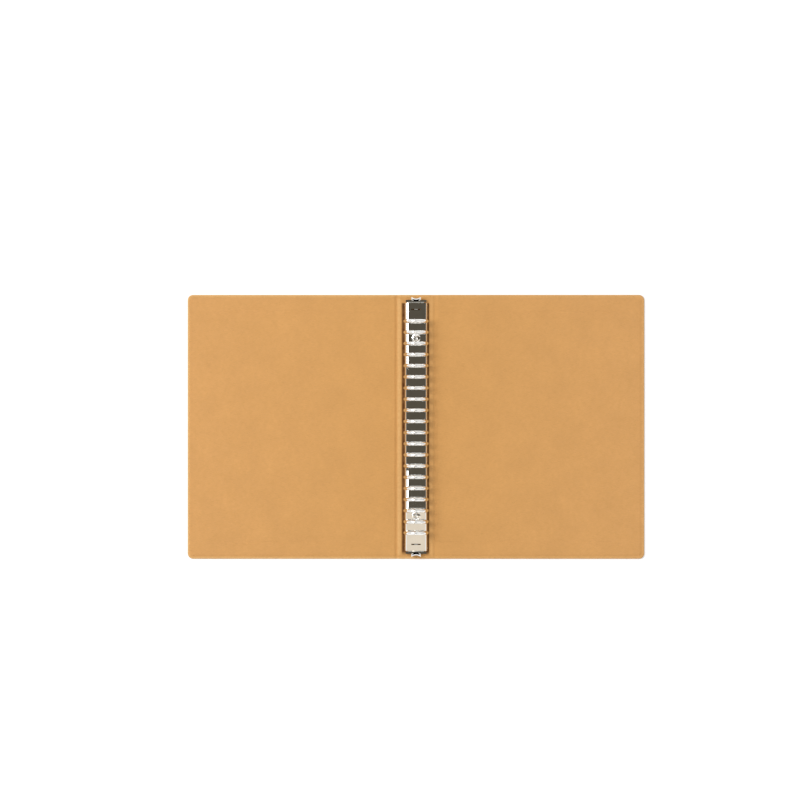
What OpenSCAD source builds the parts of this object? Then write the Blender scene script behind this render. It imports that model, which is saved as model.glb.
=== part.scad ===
// Ring album with kraft-covered boards, lying open flat with its inside up.
// Millimetres. X runs across the covers (front cover at -X), Y along the spine
// (head at +Y) and Z up. The origin is the middle of the underside.

/* [Covers] */
// Height of the album, along the spine
album_h = 226; // [200:1:300]
// Width of one cover, from its fore edge to its hinge groove
cover_w = 176.5; // [120:0.5:240]
// Width of the spine board
spine_w = 28; // [27:0.5:45]
// Width of each hinge groove
groove_w = 5; // [4.6:0.1:9]
// Thickness of the greyboard in the covers and the spine
board_t = 2; // [1.5:0.1:3.2]
// Thickness of the outer kraft wrap
wrap_t = 0.25; // [0.15:0.05:0.4]
// Thickness of the inner kraft liner
liner_t = 0.2; // [0.1:0.05:0.4]
// Radius of the four outer cover corners
corner_r = 4.5; // [2:0.5:12]
// Margin of wrap left showing round each liner
liner_inset = 3; // [2:0.5:6]
// Width of the wrap's edges turned in over the boards
turn_in = 14; // [8:1:20]

/* [Rings] */
// Number of rings
ring_count = 20; // [6:2:20]
// Distance from one ring to the next
ring_pitch = 9.5; // [7.9:0.1:10]
// Radius of a ring, to the middle of its wire
ring_r = 9.2; // [8.4:0.1:9.6]
// Diameter of the ring wire
wire_d = 3; // [2.4:0.1:3.2]
// Height of the ring centre over the spine liner
ring_rise = 13.5; // [12.5:0.1:18]
// Radius of the bend at a ring's foot, to the middle of its wire
foot_bend_r = 2.2; // [1.8:0.1:3]
// How much thicker the wire is at its foot bend, and again at its shank
foot_swell = 0.04; // [0.03:0.01:0.1]
// How far left of centre the ring halves meet, as an angle
joint_lean = 8; // [0:1:12]
// Gap between the two halves of a closed ring
joint_gap = 0.12; // [0.1:0.02:0.3]
// Length of the chamfer at each half's tip
tip_chamfer = 0.45; // [0.2:0.05:0.8]
// Radius of the cone that centres one half in the other
tip_cone_r = 0.7; // [0.4:0.05:0.9]
// Length of that cone
tip_cone_h = 0.8; // [0.4:0.05:1.2]

/* [Blades] */
// Thickness of each blade
blade_t = 0.7; // [0.5:0.05:0.9]
// Half the distance between the two blades' outer edges
blade_pivot_x = 8.45; // [8:0.05:8.5]
// Height of the blades' outer edges over the spine liner
blade_pivot_h = 2.45; // [2.4:0.05:2.8]
// Angle of each blade below level when the rings are shut
blade_shut_deg = 5.5; // [4:0.5:6]
// Angle of each blade above level when the rings are open
blade_open_deg = 8.5; // [6:0.5:9]
// Gap at the middle, from each blade's inner edge to the centre plane
blade_mid_gap = 0.25; // [0.2:0.05:0.6]
// Distance from a blade's outer edge to its row of rings
ring_seat = 2.6; // [2.5:0.1:3.2]
// Radius of a ring's tenon through its blade
tenon_r = 1.2; // [0.8:0.05:1.2]
// Radius of the head peened on each tenon
peen_r = 1.6; // [1.3:0.05:1.7]
// Thickness of that head
peen_t = 0.5; // [0.3:0.05:0.7]
// Radial clearance of a tenon in its hole
tenon_play = 0.02; // [0.01:0.01:0.05]
// How far the blades stop short of the lever pins
blade_setback = 5.1; // [4.8:0.1:5.4]

/* [Case] */
// Distance from each outermost ring to the end of the case
case_end = 15.75; // [15:0.25:30]
// Width of the case
case_w = 19.4; // [19.2:0.1:22]
// Height of the case over the spine liner
case_h = 6; // [5.9:0.1:8]
// Thickness of the case's sheet metal
case_t = 0.7; // [0.5:0.05:0.7]
// Outer radius of the case's long shoulders
shoulder_r = 3.4; // [3:0.1:3.6]
// Height of the lips that hold the blades' outer edges
lip_h = 1.85; // [1.5:0.05:1.9]
// Gap between the two walls of each rolled edge
roll_gap = 0.6; // [0.4:0.05:0.8]
// Clearance round a ring where it passes the case
ring_window_play = 0.35; // [0.3:0.05:0.5]
// Length of the slot across each end of the case
end_slot_l = 8; // [4:0.5:10]
// Width of that slot
end_slot_w = 1; // [0.6:0.1:1.6]
// Distance from that slot to the end of the case
end_slot_from_end = 5.6; // [5:0.1:7]

/* [Rivets] */
// How many ring pitches in from each outermost ring a rivet sits
rivet_in = 1.5; // [1.5:1:4.5]
// Radius of a rivet's post inside the case
rivet_post_r = 2.6; // [2:0.1:2.8]
// Radius of a rivet's necks through the case and the spine
rivet_neck_r = 1.8; // [1.2:0.1:2]
// Radius of a rivet's head on the case
rivet_head_r = 3.7; // [3:0.1:4.2]
// Height of that head
rivet_head_t = 0.7; // [0.4:0.1:1]
// Radius of a rivet's flange under the spine
rivet_flange_r = 3.5; // [3:0.1:5]
// Thickness of that flange
rivet_flange_t = 0.6; // [0.3:0.1:1]
// Radius of the dimple in a rivet's head
rivet_dimple_r = 1.5; // [1:0.1:2]
// Clearance round the rivets' necks and flanges
rivet_play = 0.05; // [0.02:0.01:0.1]
// Clearance between a rivet's post and the blades
rivet_notch_play = 0.5; // [0.4:0.05:0.7]

/* [Levers] */
// Distance from a lever's pin to the end of the case
pin_from_end = 2.4; // [2:0.1:3]
// Radius of the lever pins
pin_r = 0.8; // [0.6:0.05:0.9]
// Radial clearance of a lever on its pin
pin_play = 0.05; // [0.02:0.01:0.1]
// Degrees a lever turns for each degree of a blade
lever_ratio = 1.4; // [1.3:0.05:1.5]
// Radius of a lever's knuckle round its pin
knuckle_r = 1.7; // [1.4:0.05:1.8]
// Length of the knuckle
knuckle_l = 14.4; // [8:0.2:14.6]
// Width of the fork that holds the blade ends
fork_w = 3; // [2:0.1:3.4]
// Gap between the fork's two arms
fork_gap = 1.5; // [1.45:0.05:1.6]
// Thickness of each fork arm
fork_arm_t = 0.7; // [0.5:0.05:0.75]
// How far the fork arms reach over the blade ends
fork_overlap = 1.2; // [0.8:0.1:2]
// Thickness of a lever's foot and thumb tab
lever_t = 0.9; // [0.6:0.05:1.1]
// Length of a lever's foot, from its pin
lever_foot_l = 5.2; // [4.8:0.1:6]
// Rise of the foot towards its outer end, as an angle
lever_foot_deg = 10; // [9:0.5:13]
// Width of the foot inside the case
lever_foot_w = 13.4; // [8:0.2:14]
// Width of the cross bar outside the case
lever_bar_w = 18; // [15:0.2:19]
// Depth of that cross bar
lever_bar_d = 2; // [1.4:0.1:2.4]
// Width of the thumb tab
tab_w = 8.4; // [6:0.2:10]
// Height of the thumb tab over its lever's foot
tab_h = 7; // [5:0.1:9]
// Radius of the hollow of the thumb tab
tab_hollow_r = 5.5; // [5.2:0.1:8]
// Outward lean of the thumb tab
tab_lean = 13; // [8:0.5:16]
// Gap from the thumb tab to the end of the case
tab_gap = 1.1; // [0.8:0.1:1.6]
// Radius of the thumb tab's upper corners
tab_corner_r = 2; // [1:0.1:3]

/* [Hidden] */
$fn = 64;
kraft_wrap = "#d19b57";
kraft_liner = "#d8a569";
greyboard = "#9c8b74";
nickel = "#c9c9c6";
zinc = "#aeb0b2";
eps = 0.01;

// Heights, up from the table.
board_z = wrap_t;
board_top_z = board_z + board_t;
turn_in_top_z = board_top_z + wrap_t;
liner_top_z = turn_in_top_z + liner_t;
hinge_t = wrap_t + liner_t;

// Places across the covers.
groove_in_x = spine_w / 2;
groove_out_x = groove_in_x + groove_w;
fore_edge_x = groove_out_x + cover_w;

// The blades, seen from the tail end, for the right-hand (+X) side.
blade_l = blade_pivot_x - blade_mid_gap;
pivot_z = liner_top_z + blade_pivot_h;
case_half_w = case_w / 2;
case_top_z = liner_top_z + case_h;
case_half_l = (ring_count - 1) / 2 * ring_pitch + case_end;
roll_in_x = case_half_w - 2 * case_t - roll_gap;
pin_y = case_half_l - pin_from_end;
blade_half_l = pin_y - blade_setback;
lip_half_l = blade_half_l + 1.5;

// A ring's foot: the shank stands square on its blade, and a bend of
// foot_bend_r touches both the shank's line and the ring's circle.
ring_z = liner_top_z + ring_rise;
wire_r = wire_d / 2;
blade_dir = [cos(blade_shut_deg), sin(blade_shut_deg)];
blade_up = [-sin(blade_shut_deg), cos(blade_shut_deg)];
seat = [blade_pivot_x, pivot_z] - ring_seat * blade_dir;
seat_to_bend = seat + foot_bend_r * blade_dir - [0, ring_z];
along_up = seat_to_bend * blade_up;
shank_l = -along_up - sqrt(pow(along_up, 2) - seat_to_bend * seat_to_bend + pow(ring_r + foot_bend_r, 2));
bend_c = seat + foot_bend_r * blade_dir + shank_l * blade_up;
foot_deg = atan2(bend_c[1] - ring_z, bend_c[0]);
joint_deg = 90 + joint_lean;
gap_deg = joint_gap / 2 / ring_r * 180 / PI;
tip_r = wire_r * 0.78;
tip_cone_end_r = 0.15;

// The window in the case that a ring swings through.
swing_deg = blade_shut_deg + blade_open_deg;
window_in_x = bend_c[0] - (foot_bend_r + wire_r) - ring_window_play;
window_out_x = bend_c[0] + (case_h - blade_pivot_h) * sin(swing_deg) - ring_window_play / 2;
window_w = wire_d + 2 * ring_window_play;

// The levers.
pin_z = pivot_z - blade_l * (sin(blade_shut_deg) - sin(blade_open_deg)) / 2;
fork_deg = swing_deg * lever_ratio / 2;
fork_reach = blade_setback + fork_overlap;
tab_y = pin_from_end + tab_gap;

rivet_y = (ring_count - 1) / 2 * ring_pitch - rivet_in * ring_pitch;

function two_digits(i) = str(i < 10 ? "0" : "", i);
function ring_name(side, i) = str(side, "_ring_", two_digits(i));
function ring_y(i) = ((ring_count + 1) / 2 - i) * ring_pitch;

// A plate with two square corners at x_in and two rounded ones at x_out.
module cover_plate(x_in, x_out, half_h, r, t) {
    linear_extrude(t) union() {
        translate([x_in, -half_h]) square([x_out - r - x_in, 2 * half_h]);
        translate([x_out - r - eps, r - half_h]) square([r + eps, 2 * (half_h - r)]);
        for (end = [-1, 1])
            translate([x_out - r, end * (half_h - r)]) circle(r);
    }
}

// The covers and the spine.
module cover_board() {
    translate([0, 0, board_z])
        cover_plate(groove_out_x, fore_edge_x - wrap_t, album_h / 2 - wrap_t, corner_r - wrap_t, board_t);
}

module cover_wrap() {
    difference() {
        cover_plate(groove_out_x, fore_edge_x, album_h / 2, corner_r, turn_in_top_z);
        translate([0, 0, board_z])
            cover_plate(groove_out_x - 1, fore_edge_x - wrap_t, album_h / 2 - wrap_t, corner_r - wrap_t, board_t);
        translate([groove_out_x - 1, turn_in - album_h / 2, board_z])
            cube([cover_w + 1 - turn_in, album_h - 2 * turn_in, turn_in_top_z]);
    }
}

module cover_liner() {
    union() {
        translate([0, 0, turn_in_top_z])
            cover_plate(groove_out_x, fore_edge_x - liner_inset, album_h / 2 - liner_inset, corner_r / 2, liner_t);
        translate([groove_out_x, turn_in - album_h / 2, board_top_z])
            cube([cover_w - turn_in, album_h - 2 * turn_in, wrap_t + eps]);
    }
}

module hinge_strip() {
    translate([groove_in_x, -album_h / 2, 0]) cube([groove_w, album_h, hinge_t]);
}

module at_rivets() {
    for (end = [-1, 1]) translate([0, end * rivet_y, 0]) children();
}

module rivet_holes() {
    at_rivets() {
        translate([0, 0, -1]) cylinder(r = rivet_neck_r + rivet_play, h = case_top_z + 2);
        translate([0, 0, -1]) cylinder(r = rivet_flange_r + rivet_play, h = 1 + rivet_play + rivet_flange_t);
    }
}

module front_board() color(greyboard) mirror([1, 0, 0]) cover_board();
module back_board() color(greyboard) cover_board();
module front_wrap() color(kraft_wrap) mirror([1, 0, 0]) cover_wrap();
module back_wrap() color(kraft_wrap) cover_wrap();
module front_liner() color(kraft_liner) mirror([1, 0, 0]) cover_liner();
module back_liner() color(kraft_liner) cover_liner();
module front_hinge_strip() color(kraft_wrap) mirror([1, 0, 0]) hinge_strip();
module back_hinge_strip() color(kraft_wrap) hinge_strip();

module spine_board() {
    board_h = album_h - 2 * wrap_t;
    color(greyboard) difference() {
        translate([-spine_w / 2, -board_h / 2, board_z]) cube([spine_w, board_h, board_t]);
        rivet_holes();
    }
}

module spine_wrap() {
    board_h = album_h - 2 * wrap_t;
    color(kraft_wrap) difference() {
        translate([-spine_w / 2, -album_h / 2, 0]) cube([spine_w, album_h, turn_in_top_z]);
        translate([-spine_w, -board_h / 2, board_z]) cube([2 * spine_w, board_h, board_t]);
        translate([-spine_w, turn_in - album_h / 2, board_z])
            cube([2 * spine_w, album_h - 2 * turn_in, turn_in_top_z]);
        rivet_holes();
    }
}

module spine_liner() {
    sheet_h = album_h - 2 * liner_inset;
    pad_h = album_h - 2 * turn_in;
    color(kraft_liner) difference() {
        union() {
            translate([-spine_w / 2, -sheet_h / 2, turn_in_top_z]) cube([spine_w, sheet_h, liner_t]);
            translate([-spine_w / 2, -pad_h / 2, board_top_z]) cube([spine_w, pad_h, wrap_t + eps]);
        }
        rivet_holes();
    }
}

// The sheet-metal case: a shell with round shoulders and rolled lower edges.
module case_outline(half_w, top, r) {
    intersection() {
        translate([-half_w, 0]) square([2 * half_w, top]);
        union() {
            translate([-half_w, 0]) square([2 * half_w, top - r]);
            translate([r - half_w, 0]) square([2 * (half_w - r), top]);
            for (side = [-1, 1]) translate([side * (half_w - r), top - r]) circle(r);
        }
    }
}

module rolled_edge(top) {
    for (side = [0, 1]) mirror([side, 0]) {
        translate([roll_in_x, 0]) square([case_half_w - roll_in_x, case_t]);
        translate([roll_in_x, 0]) square([case_t, top]);
    }
}

module along_spine(half_l) {
    translate([0, half_l, 0]) rotate([90, 0, 0]) linear_extrude(2 * half_l) children();
}

module ring_window() {
    r = window_w / 2;
    span = window_out_x - window_in_x;
    translate([window_in_x, 0, 0]) union() {
        translate([r, 0, 0]) cylinder(r = r, h = case_h);
        translate([span - r, 0, 0]) cylinder(r = r, h = case_h);
        translate([r, -r, 0]) cube([span - 2 * r, window_w, case_h]);
    }
}

module ring_case() {
    color(nickel) difference() {
        translate([0, 0, liner_top_z]) union() {
            along_spine(case_half_l) difference() {
                case_outline(case_half_w, case_h, shoulder_r);
                translate([0, -eps]) case_outline(case_half_w - case_t, case_h - case_t + eps, shoulder_r - case_t);
            }
            along_spine(case_half_l) rolled_edge(case_t);
            along_spine(lip_half_l) rolled_edge(lip_h);
        }
        for (i = [1 : ring_count], side = [0, 1])
            mirror([side, 0, 0]) translate([0, ring_y(i), liner_top_z + lip_h]) ring_window();
        for (end = [-1, 1]) {
            translate([-end_slot_l / 2, end * (case_half_l - end_slot_from_end) - end_slot_w / 2, liner_top_z + lip_h])
                cube([end_slot_l, end_slot_w, case_h]);
            translate([0, end * pin_y, pin_z]) rotate([0, 90, 0])
                cylinder(r = pin_r + tenon_play, h = 2 * case_w, center = true);
        }
        rivet_holes();
    }
}

// A blade lies from its outer edge at the pivot in towards the centre.
module on_blade() {
    translate([blade_pivot_x, 0, pivot_z]) rotate([0, -blade_shut_deg, 0]) children();
}

module blade() {
    difference() {
        on_blade() union() {
            translate([-blade_l, -blade_half_l, -blade_t / 2]) cube([blade_l, 2 * blade_half_l, blade_t]);
            rotate([90, 0, 0]) cylinder(d = blade_t, h = 2 * blade_half_l, center = true);
        }
        on_blade() for (i = [1 : ring_count])
            translate([-ring_seat, ring_y(i), 0]) cylinder(r = tenon_r + tenon_play, h = 4 * blade_t, center = true);
        at_rivets() cylinder(r = rivet_post_r + rivet_notch_play, h = case_top_z);
    }
}

module right_blade() color(zinc) blade();
module left_blade() color(zinc) mirror([1, 0, 0]) blade();

// Rings: a round wire along an arc in the XZ plane, from one angle to another.
module wire_arc(radius, tube_r, from_deg, to_deg) {
    rotate([90, 0, 0]) rotate([0, 0, from_deg]) rotate_extrude(angle = to_deg - from_deg)
        translate([radius, 0]) circle(tube_r);
}

// The foot overlaps the ring by step_deg, and each step down is a little
// thicker than the last, so the pieces run into each other cleanly.
module ring_foot() {
    step_deg = 4;
    translate([bend_c[0], 0, bend_c[1]])
        wire_arc(foot_bend_r, wire_r + foot_swell, 180 + foot_deg, 180 + blade_shut_deg + step_deg);
    translate([seat[0], 0, seat[1]]) rotate([0, -blade_shut_deg, 0]) {
        translate([0, 0, blade_t / 2]) cylinder(r = wire_r + 2 * foot_swell, h = shank_l - blade_t / 2);
        translate([0, 0, -blade_t]) cylinder(r = tenon_r, h = 2 * blade_t);
        translate([0, 0, -blade_t / 2 - peen_t]) cylinder(r = peen_r, h = peen_t);
    }
}

// The ring's joint, with Z along the wire towards the other half.
module at_joint(toward) {
    translate([0, 0, ring_z]) rotate([0, -joint_deg, 0]) translate([ring_r, 0, 0])
        rotate([toward > 0 ? 0 : 180, 0, 0]) translate([0, 0, -joint_gap / 2]) children();
}

// What the chamfer at a tip takes off: all that lies outside a cone.
module tip_cut() {
    reach = 2 * tip_chamfer;
    taper = (wire_r - tip_r) / tip_chamfer * reach;
    translate([0, 0, -reach]) difference() {
        cylinder(r = 2 * wire_r, h = 2 * reach);
        cylinder(r1 = tip_r + taper, r2 = tip_r - taper, h = 2 * reach);
    }
}

module right_ring(i) {
    step_deg = 1;
    color(nickel) translate([0, ring_y(i), 0]) difference() {
        union() {
            translate([0, 0, ring_z]) wire_arc(ring_r, wire_r, foot_deg - step_deg, joint_deg - gap_deg);
            ring_foot();
        }
        at_joint(1) tip_cut();
        at_joint(1) translate([0, 0, -tip_cone_h - joint_gap])
            cylinder(r1 = tip_cone_end_r, r2 = 2 * tip_cone_r + joint_gap, h = 2 * tip_cone_h + joint_gap);
    }
}

module left_ring(i) {
    step_deg = 1;
    color(nickel) translate([0, ring_y(i), 0]) union() {
        difference() {
            translate([0, 0, ring_z])
                wire_arc(ring_r, wire_r, joint_deg + gap_deg, 180 - foot_deg + step_deg);
            at_joint(-1) tip_cut();
        }
        mirror([1, 0, 0]) ring_foot();
        at_joint(-1) translate([0, 0, -tip_cone_h])
            cylinder(r1 = 2 * tip_cone_r - tip_cone_end_r, r2 = tip_cone_end_r, h = 2 * tip_cone_h);
    }
}

// Rivets hold the case to the spine, each a post with a head and a flange.
module rivets() {
    color(nickel) at_rivets() difference() {
        union() {
            translate([0, 0, rivet_play]) cylinder(r = rivet_flange_r, h = rivet_flange_t);
            translate([0, 0, rivet_play]) cylinder(r = rivet_neck_r, h = case_top_z);
            translate([0, 0, liner_top_z]) cylinder(r = rivet_post_r, h = case_h - case_t);
            translate([0, 0, case_top_z])
                cylinder(r1 = rivet_head_r, r2 = rivet_head_r - rivet_head_t / 2, h = rivet_head_t);
        }
        translate([0, 0, case_top_z]) cylinder(r1 = rivet_dimple_r / 2, r2 = rivet_dimple_r, h = rivet_head_t + eps);
    }
}

module lever_pins() {
    pin_l = case_w - case_t;
    color(zinc) for (end = [-1, 1])
        translate([0, end * pin_y, pin_z]) rotate([0, 90, 0]) cylinder(r = pin_r, h = pin_l, center = true);
}

// A lever, about its own pin, with +Y outwards.
module tab_outline() {
    tab_half = tab_w / 2;
    translate([-tab_half, 0]) square([tab_w, tab_h - tab_corner_r]);
    translate([tab_corner_r - tab_half, 0]) square([tab_w - 2 * tab_corner_r, tab_h]);
    for (side = [-1, 1])
        translate([side * (tab_half - tab_corner_r), tab_h - tab_corner_r]) circle(tab_corner_r);
}

module thumb_tab() {
    translate([0, tab_y, lever_t / 2]) rotate([-tab_lean, 0, 0]) intersection() {
        translate([0, tab_hollow_r + lever_t, 0]) difference() {
            cylinder(r = tab_hollow_r + lever_t, h = tab_h);
            translate([0, 0, -1]) cylinder(r = tab_hollow_r, h = tab_h + 2);
        }
        translate([0, tab_hollow_r, 0]) rotate([90, 0, 0]) linear_extrude(2 * tab_hollow_r) tab_outline();
    }
}

module foot_outline() {
    bar_r = lever_bar_d / 2;
    bar_half = lever_bar_w / 2 - bar_r;
    translate([-lever_foot_w / 2, 0]) square([lever_foot_w, lever_foot_l - bar_r]);
    translate([-bar_half, lever_foot_l - lever_bar_d]) square([2 * bar_half, lever_bar_d]);
    for (side = [-1, 1]) translate([side * bar_half, lever_foot_l - bar_r]) circle(bar_r);
}

module lever_foot() {
    rotate([lever_foot_deg, 0, 0]) translate([0, 0, -lever_t / 2]) linear_extrude(lever_t) foot_outline();
}

module lever() {
    difference() {
        union() {
            rotate([0, 90, 0]) cylinder(r = knuckle_r, h = knuckle_l, center = true);
            rotate([fork_deg, 0, 0]) for (side = [-1, 1])
                translate([-fork_w / 2, -fork_reach, side * (fork_gap + fork_arm_t) / 2 - fork_arm_t / 2])
                    cube([fork_w, fork_reach, fork_arm_t]);
            lever_foot();
            thumb_tab();
        }
        rotate([0, 90, 0]) cylinder(r = pin_r + pin_play, h = case_w, center = true);
    }
}

module top_lever() color(nickel) translate([0, pin_y, pin_z]) lever();
module bottom_lever() color(nickel) translate([0, -pin_y, pin_z]) mirror([0, 1, 0]) lever();

front_board();
back_board();
spine_board();
front_wrap();
back_wrap();
spine_wrap();
front_liner();
back_liner();
spine_liner();
front_hinge_strip();
back_hinge_strip();
ring_case();
left_blade();
right_blade();
rivets();
lever_pins();
top_lever();
bottom_lever();
for (i = [1 : ring_count]) {
    left_ring(i);
    right_ring(i);
}
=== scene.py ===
import math

import bmesh
import bpy
import numpy as np
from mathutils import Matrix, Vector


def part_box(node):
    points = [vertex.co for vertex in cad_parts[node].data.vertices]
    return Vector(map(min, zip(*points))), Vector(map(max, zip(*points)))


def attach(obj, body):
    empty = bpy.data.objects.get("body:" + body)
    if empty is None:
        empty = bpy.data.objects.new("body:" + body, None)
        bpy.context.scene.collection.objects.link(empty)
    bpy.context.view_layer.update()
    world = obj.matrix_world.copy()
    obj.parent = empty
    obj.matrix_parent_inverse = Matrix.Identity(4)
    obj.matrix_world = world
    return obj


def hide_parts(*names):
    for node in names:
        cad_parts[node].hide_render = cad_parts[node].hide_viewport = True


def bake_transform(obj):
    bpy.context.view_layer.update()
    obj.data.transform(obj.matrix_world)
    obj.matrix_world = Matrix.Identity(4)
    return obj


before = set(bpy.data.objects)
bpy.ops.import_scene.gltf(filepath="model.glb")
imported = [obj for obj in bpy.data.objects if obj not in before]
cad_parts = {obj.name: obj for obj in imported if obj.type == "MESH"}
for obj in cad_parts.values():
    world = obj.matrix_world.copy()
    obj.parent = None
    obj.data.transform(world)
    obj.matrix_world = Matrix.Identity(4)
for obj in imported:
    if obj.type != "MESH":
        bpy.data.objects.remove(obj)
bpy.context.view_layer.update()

bl_info = {
    "name": "Kraft ring album",
    "version": (1, 0, 0),
    "blender": (4, 5, 0),
    "location": "3D View > Sidebar > Album",
    "description": "Wraps, lines and finishes a twenty-ring album, and sets up its studio",
    "category": "Object",
}

# Places and sizes that come from the frame, in metres. The back cover is the
# one at +X, and the front cover is its mirror image.
MM = 0.001
COVER_LOW, COVER_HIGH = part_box("back_wrap")
LINER_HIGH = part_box("back_liner")[1]
CASE_LOW, CASE_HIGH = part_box("ring_case")
RIVETS_LOW, RIVETS_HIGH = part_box("rivets")
HALF_HEIGHT = COVER_HIGH.y
FORE_EDGE = COVER_HIGH.x
GROOVE_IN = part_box("spine_board")[1].x
GROOVE_OUT = COVER_LOW.x
GROOVE_BOTTOM = GROOVE_IN + 0.45 * (GROOVE_OUT - GROOVE_IN)     # a little nearer the spine than the cover
PLAIN_FROM = GROOVE_OUT + 1 * MM            # past the groove, where the sheets run flat to the fore edge
WRAP_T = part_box("back_board")[0].z
WRAP_TOP = COVER_HIGH.z
LINER_TOP = LINER_HIGH.z
LINER_T = LINER_TOP - WRAP_TOP
RIVET_Y = RIVETS_HIGH.y - RIVETS_HIGH.x
FLANGE_T = 0.6 * MM                         # the rivets' flanges, let into the spine from below
RECESS_R = RIVETS_HIGH.x
RECESS_WALL = 0.5 * MM
RECESS_END = RECESS_R + 0.8 * MM            # where the close points round a recess stop

# What the paper's grids carry besides x, y and z, each from 0 to 1: paling, from rubbing on the rims and painted
# highlight along the folds, and painted shade.
SHEET = ("wear_and_highlight", "shade")
# How pale the rims are on each side: paling from rubbing, set weaker on the back, where it stands in for the lesser
# light on that side.
RIM_WEAR_AND_LIGHT = {"front": 1.0, "back": 0.3}
# How strong the painted highlight along each groove's wall is, weaker on the back, which gets less light.
FOLD_HIGHLIGHT = {"front": 1.0, "back": 0.35}
# How dark the paper is painted on its steep rims and in its scored lines: painted shade.
RIM_SHADE = 0.4
CREASE_SHADE = 0.5

SIDES = (("front", -1), ("back", 1))


class AlbumSizes(bpy.types.PropertyGroup):
    """The sizes of the paper covering."""

    rim_radius: bpy.props.FloatProperty(
        name="Rim radius", description="How round the wrap is over the board's edges",
        default=0.8 * MM, min=0.1 * MM, max=1.2 * MM, unit="LENGTH")
    corner_radius: bpy.props.FloatProperty(
        name="Corner radius", description="Radius of the two outer corners of each cover",
        default=4.5 * MM, min=2 * MM, max=12 * MM, unit="LENGTH")
    turn_in: bpy.props.FloatProperty(
        name="Turn-in", description="How far the wrap is folded in over the boards",
        default=14 * MM, min=8 * MM, max=20 * MM, unit="LENGTH")
    pleat_height: bpy.props.FloatProperty(
        name="Pleat height", description="Height of the small folds at the rounded corners",
        default=0.08 * MM, min=0, max=0.2 * MM, unit="LENGTH")
    crease_depth: bpy.props.FloatProperty(
        name="Crease depth", description="Depth of the scored lines outside the hinges",
        default=0.3 * MM, min=0, max=0.5 * MM, unit="LENGTH")
    front_groove: bpy.props.FloatProperty(
        name="Front groove", description="Depth of the groove between the front cover and the spine",
        default=0.95 * MM, min=0, max=1.6 * MM, unit="LENGTH")
    back_groove: bpy.props.FloatProperty(
        name="Back groove", description="Depth of the groove between the back cover and the spine",
        default=0.45 * MM, min=0, max=1.6 * MM, unit="LENGTH")
    # The widths of the painted shade along each side of the case, which stands in for the shadow there.
    front_case_shade: bpy.props.FloatProperty(
        name="Front line", description="Width of the dark line painted on the paper along the front side of the case",
        default=3.3 * MM, min=0, max=5 * MM, unit="LENGTH")
    back_case_shade: bpy.props.FloatProperty(
        name="Back line", description="Width of the dark line painted on the paper along the back side of the case",
        default=2.0 * MM, min=0, max=4 * MM, unit="LENGTH")
    # Where the painted highlight lies along each groove's wall beside the spine: a pale band that stands in for the
    # light on that wall.
    front_fold: bpy.props.FloatProperty(
        name="Front fold", description="Distance from the centre line to the pale rubbed fold at the front",
        default=14.7 * MM, min=12 * MM, max=18 * MM, unit="LENGTH")
    back_fold: bpy.props.FloatProperty(
        name="Back fold", description="Distance from the centre line to the pale rubbed fold at the back",
        default=13.2 * MM, min=12 * MM, max=18 * MM, unit="LENGTH")
    turn_in_step: bpy.props.FloatProperty(
        name="Turn-in step", description="How far the liner drops past the turned-in edge",
        default=0.06 * MM, min=0, max=0.2 * MM, unit="LENGTH")


class AlbumColours(bpy.types.PropertyGroup):
    """The colours of the paper, the board and the metal."""

    wrap: bpy.props.FloatVectorProperty(
        name="Wrap", description="Kraft paper outside and round the edges",
        subtype="COLOR", size=3, min=0, max=1, default=(0.690, 0.366, 0.122))
    liner: bpy.props.FloatVectorProperty(
        name="Liner", description="Kraft paper on the inside",
        subtype="COLOR", size=3, min=0, max=1, default=(0.672, 0.346, 0.112))
    greyboard: bpy.props.FloatVectorProperty(
        name="Greyboard", description="The boards inside the covers and the spine",
        subtype="COLOR", size=3, min=0, max=1, default=(0.33, 0.26, 0.18))
    nickel: bpy.props.FloatVectorProperty(
        name="Nickel", description="Plating of the case, the rings, the rivets and the levers",
        subtype="COLOR", size=3, min=0, max=1, default=(0.87, 0.86, 0.83))
    zinc: bpy.props.FloatVectorProperty(
        name="Zinc", description="Plating of the blades and the pins inside the case",
        subtype="COLOR", size=3, min=0, max=1, default=(0.55, 0.56, 0.57))
    floor: bpy.props.FloatVectorProperty(
        name="Floor", description="The studio floor",
        subtype="COLOR", size=3, min=0, max=1, default=(0.9, 0.9, 0.9))


# Shapes.

def smooth_step(t):
    """0 below 0, 1 above 1, and the cubic 3t^2 - 2t^3 between them."""
    t = np.clip(t, 0, 1)
    return t * t * (3 - 2 * t)


def groove_dip(x):
    """How far into a hinge groove x is: 0 on the boards, 1 at the bottom, its wall beside the spine the steeper."""
    from_spine = (np.abs(x) - GROOVE_IN) / (GROOVE_BOTTOM - GROOVE_IN)
    from_cover = (GROOVE_OUT - np.abs(x)) / (GROOVE_OUT - GROOVE_BOTTOM)
    return smooth_step(np.minimum(from_spine, from_cover))


def across_stations(reach):
    """Places across half the album: close ones beside the case and over the groove, and wide ones elsewhere."""
    spine = np.concatenate([np.linspace(0, RECESS_END, 18), np.linspace(RECESS_R + 2 * MM, 8 * MM, 3)])
    beside = np.linspace(CASE_HIGH.x - 0.5 * MM, GROOVE_IN - 0.3 * MM, 15)
    groove = np.linspace(GROOVE_IN, GROOVE_OUT, 41)
    cover = np.linspace(PLAIN_FROM, reach, 40)
    return np.concatenate([spine, beside, groove, cover])


def grid_quads(rows, cols):
    """The corner numbers of the squares of a rows by cols grid of points."""
    corner = np.arange(rows * cols).reshape(rows, cols)
    return np.stack([corner[:-1, :-1], corner[:-1, 1:], corner[1:, 1:], corner[1:, :-1]], -1).reshape(-1, 4)


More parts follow.
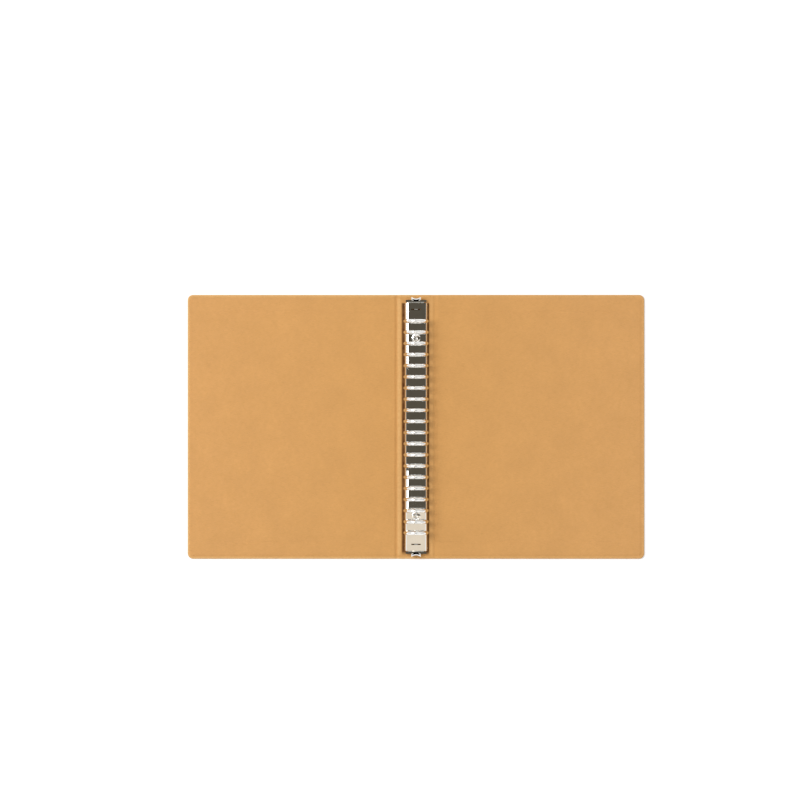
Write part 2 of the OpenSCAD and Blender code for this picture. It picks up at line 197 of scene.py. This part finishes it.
def build(name, grids, material, labels=(), smooth_deg=40):
    """One object from grids of points, welded where they meet. A grid is (rows, cols, 3 + one for each label)."""
    values, quads, start = [], [], 0
    for grid in grids:
        rows, cols, channels = grid.shape
        values.append(grid.reshape(-1, channels))
        quads.append(grid_quads(rows, cols) + start)
        start += rows * cols
    values = np.concatenate(values)
    mesh = bpy.data.meshes.new(name)
    mesh.from_pydata(values[:, :3].tolist(), [], np.concatenate(quads).tolist())
    for index, label in enumerate(labels):
        layer = mesh.attributes.new(label, "FLOAT", "POINT")
        layer.data.foreach_set("value", values[:, 3 + index].astype(np.float32))
    weld(mesh)
    mesh.materials.append(material)
    obj = bpy.data.objects.new(name, mesh)
    bpy.context.scene.collection.objects.link(obj)
    mesh.shade_smooth()
    mesh.set_sharp_from_angle(angle=math.radians(smooth_deg))
    sharpen_borders(mesh)
    return obj


def sharpen_borders(mesh):
    """Marks every open edge as sharp, so that the thickness added there gets a crisp rim."""
    edges = np.empty(len(mesh.loops), np.int32)
    mesh.loops.foreach_get("edge_index", edges)
    sharp = np.empty(len(mesh.edges), bool)
    layer = mesh.attributes.get("sharp_edge") or mesh.attributes.new("sharp_edge", "BOOLEAN", "EDGE")
    layer.data.foreach_get("value", sharp)
    layer.data.foreach_set("value", sharp | (np.bincount(edges, minlength=len(mesh.edges)) == 1))


def weld(mesh):
    """Merges points within 0.0001 mm of each other, and clears squares that have shrunk to a line."""
    shape = bmesh.new()
    shape.from_mesh(mesh)
    bmesh.ops.remove_doubles(shape, verts=shape.verts, dist=1e-7)
    bmesh.ops.dissolve_degenerate(shape, edges=shape.edges, dist=1e-8)
    shape.to_mesh(mesh)
    shape.free()


def cover_path(inset, radius, x_stations, y_stations, arc_deg):
    """The cover's edge moved in by inset: out along the head, round a corner, down the fore edge, round, and back.

    A corner is a quarter circle of radius less inset, which shrinks to a point once inset reaches the radius.
    """
    r = max(radius - inset, 0)
    reach_x, reach_y = FORE_EDGE - inset - r, HALF_HEIGHT - inset - r
    stretch = (reach_x - PLAIN_FROM) / (x_stations[-1] - PLAIN_FROM)
    head_x = np.minimum(x_stations, PLAIN_FROM) + np.maximum(x_stations - PLAIN_FROM, 0) * stretch
    arc = np.radians(arc_deg)
    head = np.stack([head_x, np.full_like(head_x, reach_y + r)], -1)
    corner = np.stack([reach_x + r * np.sin(arc), reach_y + r * np.cos(arc)], -1)
    fore = np.stack([np.full_like(y_stations, reach_x + r), y_stations * reach_y], -1)
    flip = np.array([1, -1])
    return np.concatenate([head, corner, fore[1:-1], corner[::-1] * flip, head[::-1] * flip])


def wrap_grids(sizes, groove_depth, rim_wear_and_light):
    """The outer sheet of one half of the album: a border carried round the cover's edge, and a plain middle.

    The border's profile starts under the board, runs out to the edge, round it by two quarter circles, and in over
    the board to the end of the turn-in. Its height is the board's, less the groove's depth where it crosses it.
    """
    radius, turn_in = sizes.corner_radius, sizes.turn_in
    x_stations = across_stations(FORE_EDGE - radius)
    y_stations = np.linspace(1, -1, 61)
    arc_deg = np.linspace(0, 90, 31)[1:]
    quarter = np.radians(np.linspace(0, 90, 7))
    rim = sizes.rim_radius
    # A step is how far in from the edge it is, and how far off the face in rim radii.
    under = [(turn_in, 0), (turn_in / 2, 0), (2 * rim, 0)]
    lower = [(rim * (1 - math.sin(a)), 1 - math.cos(a)) for a in quarter]
    upper = [(rim * (1 - math.cos(a)), math.sin(a) - 1) for a in quarter]
    over = [(2 * rim, 0), (3 * MM, 0), (turn_in / 2, 0), (turn_in, 0)]
    rows = []
    for side, steps in (("under", under), ("lower", lower), ("upper", upper), ("over", over)):
        for inset, share in steps:
            path = cover_path(inset, radius, x_stations, y_stations, arc_deg)
            if side in ("under", "lower"):
                z = share * rim + crease(path[:, 0], sizes.crease_depth) * (share == 0)
            else:
                top = WRAP_TOP - groove_depth * groove_dip(path[:, 0])
                z = top + share * rim + pleats(path, inset, radius, sizes) * (share == 0)
            # The rim pales from rubbing and pales less on the back, a painted difference in light. It also gets
            # painted shade, darker the steeper it turns.
            steep = share ** 2 if side == "upper" else share
            wear_and_highlight = np.full(len(path), rim_wear_and_light * (side in ("lower", "upper")))
            rows.append(np.column_stack([path, z, wear_and_highlight, np.full(len(path), RIM_SHADE * steep)]))
    edge_x = cover_path(turn_in, radius, x_stations, y_stations, arc_deg)[:len(x_stations), 0]
    x, y = np.meshgrid(edge_x, middle_stations(y_stations, HALF_HEIGHT - turn_in))
    z = crease(x, sizes.crease_depth)
    # Painted shade in the scored lines, darkest at their middles.
    scored = CREASE_SHADE * z / max(sizes.crease_depth, 1e-9)
    middle = np.stack([x, y, z + rivet_recess(x, y), np.zeros_like(x), scored], -1)
    return [np.stack(rows)[:, ::-1], middle]


def middle_stations(y_stations, reach):
    """The border's places along the album, with close ones added round the rivets."""
    near = np.linspace(-RECESS_END, RECESS_END, 36)
    return np.unique(np.concatenate([y_stations * reach, near - RIVET_Y, near + RIVET_Y]))[::-1]


def rivet_recess(x, y):
    """How far the outer sheet is let in round the rivets' flanges: a round well with a smooth wall, deep enough to
    clear the flange.
    """
    clearance = 0.01 * MM
    depth = RIVETS_LOW.z + FLANGE_T + clearance
    far = np.hypot(x, np.abs(y) - RIVET_Y)
    return depth * (1 - smooth_step((far - RECESS_R) / RECESS_WALL))


def crease(x, depth):
    """Two scored lines along a hinge, each a bell curve in section, one beside each board."""
    width, from_board = 0.35 * MM, 0.5 * MM         # half the bell's width, and how far its middle is past a board
    lines = (GROOVE_IN + from_board, GROOVE_OUT - from_board)
    return depth * sum(np.exp(-((np.abs(x) - line) / width) ** 2) for line in lines)


def pleats(path, inset, radius, sizes):
    """Small folds that fan out round a corner's centre: a rectified sine over the quarter turn, all of one height,
    and none further in than the corner's radius.
    """
    count = 5
    dx = path[:, 0] - (FORE_EDGE - radius)
    dy = np.abs(path[:, 1]) - (HALF_HEIGHT - radius)
    turn = np.arctan2(np.maximum(dx, 0), np.maximum(dy, 1e-9))
    inside = (dx > 0) & (dy > 0)
    return inside * sizes.pleat_height * np.abs(np.sin(turn * 2 * count)) * (inset < radius)


def painted_fold_highlight(x, middle, amount):
    """How much painted highlight lies along a groove's wall beside the spine, a pale band that stands in for the
    light on that wall: a bell curve across it.
    """
    width = 1.4 * MM
    return amount * np.exp(-((np.abs(x) - middle) / width) ** 2)


def painted_case_shade(x, y, width):
    """How dark the sheet is painted beside the case: painted shade that stands in for the shadow along the case's
    sides, a line that starts under its edge and fades over width, from the case's head to past its tail.
    """
    under_case, past_tail = 1.2 * MM, 4 * MM
    inner = smooth_step((np.abs(x) - CASE_HIGH.x + under_case) / (under_case / 2))
    across = inner * smooth_step((CASE_HIGH.x + width - np.abs(x)) / (0.5 * width))
    head = smooth_step((CASE_HIGH.y + 0.6 * MM - y) / (1.2 * MM))
    tail = smooth_step((y - CASE_LOW.y + past_tail) / past_tail)
    return across * head * tail


def liner_grid(sizes, groove_depth, case_shade_width, fold, fold_highlight):
    """The inner sheet of one half: flat on the cover, down through the groove, and flat again on the spine.

    A column is a line along the album, as tall as the sheet is there, so that the outer corners come out round.
    The sheet sinks by turn_in_step once it is past the end of the turn-in beneath it.
    """
    reach_x, reach_y = LINER_HIGH.x, LINER_HIGH.y
    corner = sizes.corner_radius / 2
    x = across_stations(reach_x - corner)
    arc = np.radians(np.linspace(0, 90, 13))[1:]
    x = np.concatenate([x, reach_x - corner + corner * np.sin(arc)])
    past = np.maximum(x - (reach_x - corner), 0)
    half = reach_y - corner + np.sqrt(np.maximum(corner ** 2 - past ** 2, 0))
    edge = HALF_HEIGHT - sizes.turn_in
    case_end = CASE_HIGH.y + 1.5 * MM
    bend = 1.2 * MM
    share = np.concatenate([
        [1.0], np.linspace(case_end, edge + bend, 12) / reach_y,
        np.linspace(edge + bend, edge - bend, 9)[1:] / reach_y,
        np.linspace((edge - bend) / reach_y, 0, 30)[1:]])
    share = np.concatenate([share, -share[-2::-1]])
    gx, gy = np.meshgrid(x, share)
    gy = gy * half
    z = LINER_TOP - groove_depth * groove_dip(gx)
    from_head = smooth_step((edge + bend / 2 - np.abs(gy)) / bend)
    from_fore = smooth_step((FORE_EDGE - sizes.turn_in + bend / 2 - gx) / bend)
    z = z - sizes.turn_in_step * from_head * from_fore
    # The last two channels: painted highlight along the groove's wall, and painted shade beside the case.
    return np.stack([gx, gy, z, painted_fold_highlight(gx, fold, fold_highlight), painted_case_shade(gx, gy, case_shade_width)], -1)


def rivet_grid(y):
    """One rivet as a surface of revolution: a domed head with a dimple, a neck through the case and the spine, and a
    flange. The dome is an ellipse, height times the root of 1 - (r / radius)^2, on a straight rim a quarter of the
    head's height. The dimple is a smooth step down round the axis.
    """
    head_r, neck_r, flange_r = RIVETS_HIGH.x, 1.8 * MM, RIVETS_HIGH.x - 0.2 * MM
    dimple_r, dimple = 1.35 * MM, 0.75 * MM
    head_low, head_h = CASE_HIGH.z, RIVETS_HIGH.z - CASE_HIGH.z
    straight = 0.25
    r = np.linspace(0, head_r, 41)
    dome = head_h * (straight + (1 - straight) * np.sqrt(np.maximum(1 - (r / head_r) ** 2, 0)))
    dome = dome - dimple * (1 - smooth_step((r - 0.2 * dimple_r) / (0.8 * dimple_r)))
    flange_low, flange_high = RIVETS_LOW.z, RIVETS_LOW.z + FLANGE_T
    side_r = np.array([head_r, neck_r, neck_r, flange_r, flange_r, 0])
    side_z = np.array([head_low, head_low, flange_high, flange_high, flange_low, flange_low])
    profile_r = np.concatenate([r, side_r])
    profile_z = np.concatenate([head_low + np.maximum(dome, 0), side_z])
    turn = np.linspace(0, 2 * np.pi, 73)
    x = profile_r[:, None] * np.cos(turn)
    z = np.broadcast_to(profile_z[:, None], x.shape)
    return np.stack([x, y + profile_r[:, None] * np.sin(turn), z], -1)


def mirrored(grid):
    """The same grid on the front cover's side, its rows turned round so that it still faces outwards."""
    turned = grid.copy()
    turned[..., 0] *= -1
    return turned[:, ::-1]


def thicken(obj, thickness):
    """Gives a sheet its thickness, inwards from the face that was worked out."""
    solid = obj.modifiers.new("thickness", "SOLIDIFY")
    solid.thickness = thickness
    solid.offset = -1
    solid.use_even_offset = False


# Materials.

def add_node(tree, kind, inputs=None, **settings):
    """A shader node with its settings, and each input either linked to a socket or given a value."""
    made = tree.nodes.new(kind)
    for key, value in settings.items():
        setattr(made, key, value)
    for key, value in (inputs or {}).items():
        if isinstance(value, bpy.types.NodeSocket):
            tree.links.new(value, made.inputs[key])
        else:
            made.inputs[key].default_value = value
    return made


def bare_tree(owner):
    """The node tree of a new material or world, with nothing in it."""
    owner.use_nodes = True
    owner.node_tree.nodes.clear()
    return owner.node_tree


def new_material(name):
    """An empty material and its node tree, with the output and a Principled shader joined."""
    material = bpy.data.materials.new(name)
    tree = bare_tree(material)
    shader = add_node(tree, "ShaderNodeBsdfPrincipled")
    add_node(tree, "ShaderNodeOutputMaterial", {"Surface": shader.outputs["BSDF"]})
    return material, tree, shader


def rgba(colour, level=1.0):
    """A colour at a share of its brightness, with the fourth channel that sockets want."""
    return (*[min(channel * level, 1.0) for channel in colour], 1.0)


def mixed(tree, share, low, high, blend="MIX"):
    """Two colours, or a socket and a colour, mixed by share. The Mix node has its colours at 6 and 7."""
    made = add_node(tree, "ShaderNodeMix", {0: share, 6: low, 7: high}, data_type="RGBA", blend_type=blend)
    return made.outputs[2]


def laid_over(tree, base, mask, strength, colour):
    """A colour laid over the base where a mask is, at a share of its full strength."""
    return mixed(tree, maths(tree, "MULTIPLY", mask, strength), base, colour)


def ranged(tree, value, low, high, to_low=0.0, to_high=1.0):
    """A value carried from one range to another and held at its ends."""
    made = add_node(tree, "ShaderNodeMapRange", {
        "Value": value, "From Min": low, "From Max": high, "To Min": to_low, "To Max": to_high})
    return made.outputs["Result"]


def noise(tree, place, scale, detail=2.0, roughness=0.5, distortion=0.0):
    """Noise over a set of coordinates, with scale in features per metre."""
    made = add_node(tree, "ShaderNodeTexNoise", {
        "Vector": place, "Scale": scale, "Detail": detail, "Roughness": roughness, "Distortion": distortion})
    return made.outputs["Fac"]


def maths(tree, operation, first, second):
    """One sum on two values or sockets."""
    return add_node(tree, "ShaderNodeMath", {0: first, 1: second}, operation=operation).outputs[0]


def fibres(tree, place, length, width, turns_deg):
    """Short streaks that lie in a few directions: stretched noise, turned, and cut off above a level."""
    total = None
    for turn in turns_deg:
        turned = add_node(tree, "ShaderNodeMapping", {
            "Vector": place, "Rotation": (0, 0, math.radians(turn)), "Scale": (1 / length, 1 / width, 1 / length)})
        streak = ranged(tree, noise(tree, turned.outputs["Vector"], 1.0, 1.0, 0.5, 0.4), 0.60, 0.74)
        total = streak if total is None else maths(tree, "MAXIMUM", total, streak)
    return total


def kraft_paper(name, colour, fibre_share, grain_height):
    """Kraft paper: cloudy pulp, lighter and bluer towards the fore edge, light and dark fibres and a few flecks, pale
    on its rubbed rims and where highlight is painted along its folds, and dark brown where shade is painted on.
    """
    material, tree, shader = new_material(name)
    # The pale colour of rubbed rims and of painted highlight.
    pale = (min(colour[0] * 1.2, 0.9), colour[1] * 1.45, colour[2] * 1.9, 1.0)
    # The dark brown of painted shade.
    painted_shade_brown = (colour[0] * 0.12, colour[1] * 0.065, colour[2] * 0.02, 1.0)
    # Lighter and bluer towards the fore edges, by distance from the spine.
    fore_edge_lift = (1.05, 1.06, 1.16, 1.0)
    place = add_node(tree, "ShaderNodeTexCoord").outputs["Object"]
    cloud = ranged(tree, noise(tree, place, 38, 3.0, 0.55), 0.3, 0.7)
    pulp = ranged(tree, noise(tree, place, 260, 3.0, 0.6), 0.3, 0.7)
    dark = fibres(tree, place, 3.2 * MM, 0.32 * MM, (12, 74, 131))
    light = fibres(tree, place, 2.4 * MM, 0.28 * MM, (40, 103, 165))
    fleck = ranged(tree, add_node(tree, "ShaderNodeTexVoronoi", {
        "Vector": place, "Scale": 210.0}).outputs["Distance"], 0.055, 0.03)
    from_spine = maths(tree, "ABSOLUTE", add_node(tree, "ShaderNodeSeparateXYZ", {"Vector": place}).outputs["X"], 0.0)
    to_fore_edge = ranged(tree, from_spine, 20 * MM, 190 * MM)         # 0 at the spine, 1 at the fore edge
    cloudy = mixed(tree, cloud, rgba(colour, 0.955), rgba(colour, 1.035))
    colour_now = mixed(tree, to_fore_edge, cloudy, fore_edge_lift, "MULTIPLY")
    colour_now = laid_over(tree, colour_now, pulp, 0.35, rgba(colour, 0.93))
    colour_now = laid_over(tree, colour_now, dark, fibre_share, rgba(colour, 0.62))
    colour_now = laid_over(tree, colour_now, light, fibre_share, rgba(colour, 1.3))
    colour_now = laid_over(tree, colour_now, fleck, 0.45, rgba(colour, 0.5))
    # Paling: rubbing on the rims, and painted highlight along the folds.
    paling_mask = add_node(tree, "ShaderNodeAttribute", attribute_name="wear_and_highlight").outputs["Fac"]
    rubbed = maths(tree, "MULTIPLY", paling_mask, ranged(tree, noise(tree, place, 420, 3.0, 0.7), 0.35, 0.68, 0.3, 0.75))
    colour_now = mixed(tree, rubbed, colour_now, pale)
    # Painted shade: the paper turns dark brown where the shade attribute is.
    shade = add_node(tree, "ShaderNodeAttribute", attribute_name="shade").outputs["Fac"]
    shade = maths(tree, "MULTIPLY", shade, ranged(tree, pulp, 0, 1, 0.84, 1.0))
    colour_now = mixed(tree, shade, colour_now, painted_shade_brown)
    grain = noise(tree, place, 1500, 3.0, 0.65)
    height = maths(tree, "ADD", grain, maths(tree, "MULTIPLY", maths(tree, "ADD", dark, light), 0.6))
    bump = add_node(tree, "ShaderNodeBump", {"Height": height, "Strength": 0.5, "Distance": grain_height})
    tree.links.new(colour_now, shader.inputs["Base Color"])
    tree.links.new(ranged(tree, pulp, 0, 1, 0.72, 0.86), shader.inputs["Roughness"])
    tree.links.new(bump.outputs["Normal"], shader.inputs["Normal"])
    shader.inputs["Specular IOR Level"].default_value = 0.2
    return material


def greyboard(name, colour):
    """Pressed board: short grey and brown fibres, dark specks and a soft uneven face."""
    material, tree, shader = new_material(name)
    place = add_node(tree, "ShaderNodeTexCoord").outputs["Object"]
    pulp = ranged(tree, noise(tree, place, 180, 4.0, 0.6), 0.3, 0.7)
    hair = fibres(tree, place, 1.6 * MM, 0.2 * MM, (5, 64, 122))
    speck = ranged(tree, noise(tree, place, 1100, 1.0, 0.5), 0.68, 0.74)
    colour_now = mixed(tree, pulp, rgba(colour, 0.85), rgba(colour, 1.12))
    colour_now = laid_over(tree, colour_now, hair, 0.4, rgba(colour, 1.4))
    colour_now = laid_over(tree, colour_now, speck, 0.6, rgba(colour, 0.4))
    bump = add_node(tree, "ShaderNodeBump", {"Height": pulp, "Strength": 0.6, "Distance": 0.05 * MM})
    tree.links.new(colour_now, shader.inputs["Base Color"])
    tree.links.new(bump.outputs["Normal"], shader.inputs["Normal"])
    shader.inputs["Roughness"].default_value = 0.9
    return material


def plated_metal(name, colour, roughness, scratch_height):
    """Bright plating: faint cloudy smudges, and hairlines along the album from drawing and handling."""
    material, tree, shader = new_material(name)
    place = add_node(tree, "ShaderNodeTexCoord").outputs["Object"]
    smudge = ranged(tree, noise(tree, place, 90, 4.0, 0.6, 0.6), 0.35, 0.7)
    hair = fibres(tree, place, 0.25 * MM, 9 * MM, (2, -5))
    tint = mixed(tree, smudge, rgba(colour), rgba(colour, 0.94))
    tree.links.new(laid_over(tree, tint, hair, 0.12, rgba(colour, 0.8)), shader.inputs["Base Color"])
    spread = maths(tree, "ADD", ranged(tree, smudge, 0, 1, roughness, roughness * 1.5),
                   maths(tree, "MULTIPLY", hair, roughness * 0.6))
    tree.links.new(spread, shader.inputs["Roughness"])
    bump = add_node(tree, "ShaderNodeBump", {"Height": hair, "Strength": 0.1, "Distance": scratch_height})
    tree.links.new(bump.outputs["Normal"], shader.inputs["Normal"])
    shader.inputs["Metallic"].default_value = 1.0
    return material


def finish_of(slot):
    """The finish for one of the material slots, made the first time that it is asked for."""
    name = f"{slot}_finish"
    if name in bpy.data.materials:
        return bpy.data.materials[name]
    colours = bpy.context.scene.album_colours
    makers = {
        "kraft_wrap": lambda: kraft_paper(name, colours.wrap, 0.42, 0.03 * MM),
        "kraft_liner": lambda: kraft_paper(name, colours.liner, 0.24, 0.02 * MM),
        "greyboard": lambda: greyboard(name, colours.greyboard),
        "bright_nickel": lambda: plated_metal(name, colours.nickel, 0.015, 0.0006 * MM),
        "zinc_steel": lambda: plated_metal(name, colours.zinc, 0.28, 0.006 * MM),
    }
    return makers[slot]()


def finish_nodes(names, slot):
    """Gives carried-over nodes their finish."""
    for name in names:
        for material_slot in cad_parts[name].material_slots:
            material_slot.material = finish_of(slot)


def nodes_like(*words):
    """The names of the frame's nodes that hold any of these words."""
    return [name for name in sorted(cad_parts) if any(word in name for word in words)]


class ALBUM_OT_boards(bpy.types.Operator):
    """Finish the greyboards inside the covers and the spine"""

    bl_idname = "album.boards"
    bl_label = "Greyboards"

    def execute(self, context):
        finish_nodes(nodes_like("_board"), "greyboard")
        return {"FINISHED"}


class ALBUM_OT_wraps(bpy.types.Operator):
    """Fold the outer kraft sheet round each cover, across its hinge and onto the spine"""

    bl_idname = "album.wraps"
    bl_label = "Outer wraps"

    def execute(self, context):
        material = finish_of("kraft_wrap")
        sizes = context.scene.album_sizes
        for name, side in SIDES:
            if side < 0:
                grids = [mirrored(grid) for grid in wrap_grids(sizes, sizes.front_groove, RIM_WEAR_AND_LIGHT[name])]
            else:
                grids = wrap_grids(sizes, sizes.back_groove, RIM_WEAR_AND_LIGHT[name])
            obj = build(f"{name}_wrap_sheet", grids, material, SHEET)
            thicken(obj, WRAP_T)
            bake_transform(obj)
            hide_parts(f"{name}_wrap", f"{name}_hinge_strip", "spine_wrap")
        return {"FINISHED"}


class ALBUM_OT_liners(bpy.types.Operator):
    """Lay the inner kraft sheet on each cover, down through its groove and under the ring case"""

    bl_idname = "album.liners"
    bl_label = "Inner liners"

    def execute(self, context):
        material = finish_of("kraft_liner")
        sizes = context.scene.album_sizes
        for name, side in SIDES:
            wear_and_highlight = FOLD_HIGHLIGHT[name]
            if side < 0:
                grid = mirrored(liner_grid(sizes, sizes.front_groove, sizes.front_case_shade, sizes.front_fold, wear_and_highlight))
            else:
                grid = liner_grid(sizes, sizes.back_groove, sizes.back_case_shade, sizes.back_fold, wear_and_highlight)
            obj = build(f"{name}_liner_sheet", [grid], material, SHEET)
            thicken(obj, LINER_T)
            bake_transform(obj)
            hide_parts(f"{name}_liner", "spine_liner")
        return {"FINISHED"}


class ALBUM_OT_mechanism(bpy.types.Operator):
    """Plate the ring case, its rings, levers, blades and pins"""

    bl_idname = "album.mechanism"
    bl_label = "Ring mechanism"

    def execute(self, context):
        finish_nodes(nodes_like("ring_case", "_ring_", "rivets", "top_lever", "bottom_lever"), "bright_nickel")
        finish_nodes(nodes_like("_blade", "lever_pins"), "zinc_steel")
        return {"FINISHED"}


class ALBUM_OT_rivets(bpy.types.Operator):
    """Set the two domed rivets that hold the case to the spine"""

    bl_idname = "album.rivets"
    bl_label = "Rivets"

    def execute(self, context):
        obj = build("domed_rivets", [rivet_grid(RIVET_Y), rivet_grid(-RIVET_Y)], finish_of("bright_nickel"))
        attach(obj, "spine")
        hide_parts("rivets")
        return {"FINISHED"}


# The studio.

VIEW_CENTRE = (-13.7 * MM, 23.0 * MM)
VIEW_WIDTH = 685.6 * MM
VIEW_HEIGHT = 3.2
SENSOR_MM = 36
WORLD_LIGHT = 0.5               # on dull surfaces
FLOOR_REACH = 6.0
FLOOR_GLOW = 0.3                # near the album, for the eye and for metal
FLOOR_WHITE = (0.6, 2.0)        # the floor glows more from the first distance on, and is white from the second

# Each lamp's name, place, size in metres and power in watts.
LAMPS = (
    ("key", (-1.15, 0.55, 2.45), 1.3, 43),
    ("fill", (1.2, -0.9, 2.3), 1.6, 3),
)

# Each card's name, its two angles round the spine from +X, its two places along the spine and its colour.
CARD_DISTANCE = 1.2
DARK, WARM = (0.1, 0.088, 0.068), (0.87, 0.77, 0.64)
CARDS = (
    ("flag_above", 100, 6, -0.106, 0.29, DARK),
    ("flag_left", 170, 100, -0.06, 0.064, DARK),
    ("card_tail", 150, 30, -0.24, -0.106, WARM),
    ("flag_tail", 98, 82, -0.42, -0.24, DARK),
)


def add_camera(scene):
    """A long lens straight above the album, with the head of the album up."""
    data = bpy.data.cameras.new("camera")
    data.sensor_width = SENSOR_MM
    data.lens = data.sensor_width * VIEW_HEIGHT / VIEW_WIDTH
    camera = bpy.data.objects.new("camera", data)
    camera.location = (*VIEW_CENTRE, VIEW_HEIGHT)
    scene.collection.objects.link(camera)
    scene.camera = camera


def add_lamp(scene, name, place, size, power):
    """A square soft lamp that faces the origin."""
    data = bpy.data.lights.new(name, "AREA")
    data.size = size
    data.energy = power
    lamp = bpy.data.objects.new(name, data)
    scene.collection.objects.link(lamp)
    lamp.location = place
    lamp.rotation_mode = "QUATERNION"
    lamp.rotation_quaternion = lamp.location.to_track_quat("Z", "Y")


def straight_rays(tree):
    """1 for what the camera sees directly, in metal or through glass, and 0 for light on a dull surface."""
    path = add_node(tree, "ShaderNodeLightPath")
    seen = maths(tree, "MAXIMUM", path.outputs["Is Camera Ray"], path.outputs["Is Glossy Ray"])
    return maths(tree, "MAXIMUM", seen, path.outputs["Is Transmission Ray"])


def light_world(scene, level):
    """A white surround for the eye and for metal, and an even dimmer light for dull surfaces."""
    world = bpy.data.worlds.new("studio")
    tree = bare_tree(world)
    strength = ranged(tree, straight_rays(tree), 0, 1, level, 1.0)
    surround = add_node(tree, "ShaderNodeBackground", {"Color": (1, 1, 1, 1), "Strength": strength})
    add_node(tree, "ShaderNodeOutputWorld", {"Surface": surround.outputs[0]})
    scene.world = world


def floor_material(colour):
    """A pale floor that looks white where it is lit and far out, keeps its shadows near the album, and is clear
    from below and to what lies on it, so that the underside gets light.
    """
    on_floor = 1 * MM           # a ray shorter than this starts on something that lies on the floor
    material = bpy.data.materials.new("floor")
    tree = bare_tree(material)
    dull = add_node(tree, "ShaderNodeBsdfDiffuse", {"Color": rgba(colour)})
    place = add_node(tree, "ShaderNodeTexCoord").outputs["Object"]
    far = add_node(tree, "ShaderNodeVectorMath", {0: place}, operation="LENGTH").outputs["Value"]
    level = ranged(tree, far, *FLOOR_WHITE, FLOOR_GLOW, 1.0)
    lift = add_node(tree, "ShaderNodeEmission", {
        "Color": (1, 1, 1, 1), "Strength": maths(tree, "MULTIPLY", straight_rays(tree), level)})
    both = add_node(tree, "ShaderNodeAddShader", {0: dull.outputs[0], 1: lift.outputs[0]})
    clear = add_node(tree, "ShaderNodeBsdfTransparent")
    from_below = add_node(tree, "ShaderNodeNewGeometry").outputs["Backfacing"]
    length = add_node(tree, "ShaderNodeLightPath").outputs["Ray Length"]
    open_share = maths(tree, "MAXIMUM", from_below, maths(tree, "LESS_THAN", length, on_floor))
    mix = add_node(tree, "ShaderNodeMixShader", {0: open_share, 1: both.outputs[0], 2: clear.outputs[0]})
    add_node(tree, "ShaderNodeOutputMaterial", {"Surface": mix.outputs[0]})
    return material


def card_material(name, colour):
    """A plain card of one even colour for metal to reflect."""
    material = bpy.data.materials.new(name)
    tree = bare_tree(material)
    glow = add_node(tree, "ShaderNodeEmission", {"Color": rgba(colour), "Strength": 1.0})
    add_node(tree, "ShaderNodeOutputMaterial", {"Surface": glow.outputs[0]})
    return material


def add_card(name, from_deg, to_deg, tail_y, head_y, colour):
    """A plain card that only metal sees: part of a cylinder round the spine, from one angle to another."""
    angle, y = np.meshgrid(np.radians(np.linspace(from_deg, to_deg, 24)), [tail_y, head_y])
    grid = np.stack([CARD_DISTANCE * np.cos(angle), y, CARD_DISTANCE * np.sin(angle)], -1)
    card = build(name, [grid], card_material(name, colour))
    card.visible_camera = False
    card.visible_diffuse = False
    card.visible_shadow = False
    card.visible_transmission = False


class ALBUM_OT_stage(bpy.types.Operator):
    """Set up the pale floor, the soft light and the camera"""

    bl_idname = "album.stage"
    bl_label = "Studio"

    def execute(self, context):
        scene = context.scene
        add_camera(scene)
        light_world(scene, WORLD_LIGHT)
        for lamp in LAMPS:
            add_lamp(scene, *lamp)
        across = [-FLOOR_REACH, FLOOR_REACH]
        x, y = np.meshgrid(across, across)
        floor = build("floor", [np.stack([x, y, np.zeros_like(x)], -1)], floor_material(scene.album_colours.floor))
        for card in CARDS:
            add_card(*card)
        scene.view_settings.view_transform = "Standard"
        return {"FINISHED"}


class ALBUM_PT_sidebar(bpy.types.Panel):
    """The album's sizes, colours and steps"""

    bl_idname = "ALBUM_PT_sidebar"
    bl_label = "Ring album"
    bl_space_type = "VIEW_3D"
    bl_region_type = "UI"
    bl_category = "Album"

    def draw(self, context):
        for group in (context.scene.album_sizes, context.scene.album_colours):
            box = self.layout.box()
            for key in group.__annotations__:
                box.prop(group, key)
        for step in STEPS:
            self.layout.operator(step.bl_idname)


STEPS = (ALBUM_OT_boards, ALBUM_OT_wraps, ALBUM_OT_liners, ALBUM_OT_mechanism, ALBUM_OT_rivets, ALBUM_OT_stage)
CLASSES = (AlbumSizes, AlbumColours, *STEPS, ALBUM_PT_sidebar)


def register():
    """Adds the classes and hangs the two groups of settings on the scene."""
    for cls in CLASSES:
        bpy.utils.register_class(cls)
    bpy.types.Scene.album_sizes = bpy.props.PointerProperty(type=AlbumSizes)
    bpy.types.Scene.album_colours = bpy.props.PointerProperty(type=AlbumColours)


def unregister():
    """Takes the settings and the classes away again."""
    del bpy.types.Scene.album_colours
    del bpy.types.Scene.album_sizes
    for cls in reversed(CLASSES):
        bpy.utils.unregister_class(cls)


def main():
    """Builds every piece in order."""
    register()
    bpy.ops.album.boards()
    bpy.ops.album.wraps()
    bpy.ops.album.liners()
    bpy.ops.album.mechanism()
    bpy.ops.album.rivets()
    bpy.ops.album.stage()


if __name__ == "__main__":
    main()
